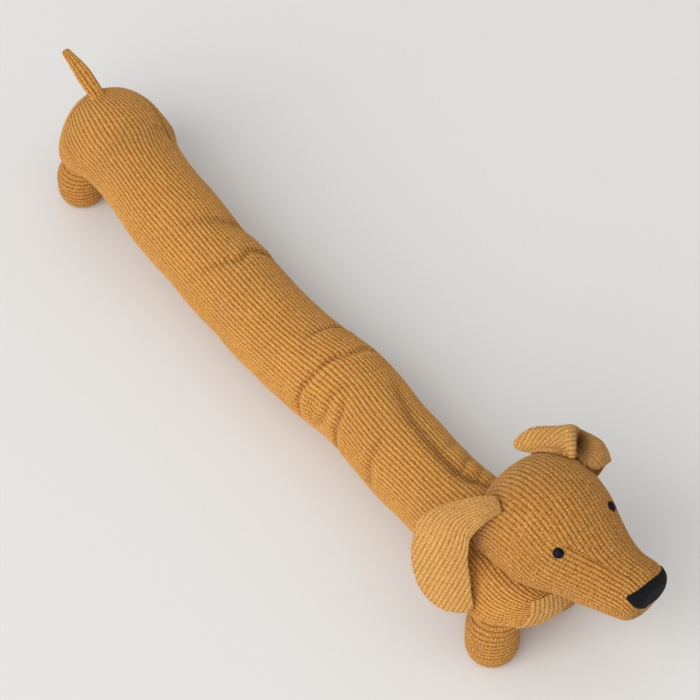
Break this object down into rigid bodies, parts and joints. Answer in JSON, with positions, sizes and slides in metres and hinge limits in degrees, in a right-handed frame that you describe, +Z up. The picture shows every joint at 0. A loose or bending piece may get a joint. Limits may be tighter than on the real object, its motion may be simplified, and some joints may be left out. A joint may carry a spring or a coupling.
{
  "type": "draught excluder",
  "caption": "Long, low stuffed dachshund in wide-wale corduroy that lies along the foot of a door: tube body with lengthwise cords, turned head, stump legs, upright tail and hanging ears.",
  "frame": {"origin": "on the floor, under the centre of the dog's outer box", "axes": "+X from tail to nose, +Y to the dog's left, +Z up"},
  "size_m": [1.0002, 0.2298, 0.2167],
  "materials": {
    "corduroy": "wide-wale cotton corduroy, mustard ochre, soft nap",
    "felt": "black wool felt, matt",
    "eye_black": "black safety eye with a satin sheen"
  },
  "bodies": {
    "root": {"body": "corduroy", "chest_gusset": "corduroy", "head": "corduroy", "ear_right": "corduroy", "ear_left": "corduroy", "leg_front_right": "corduroy", "leg_front_left": "corduroy", "leg_rear_right": "corduroy", "leg_rear_left": "corduroy", "tail": "corduroy", "nose": "felt", "eye_right": "eye_black", "eye_left": "eye_black"}
  },
  "joints": []
}
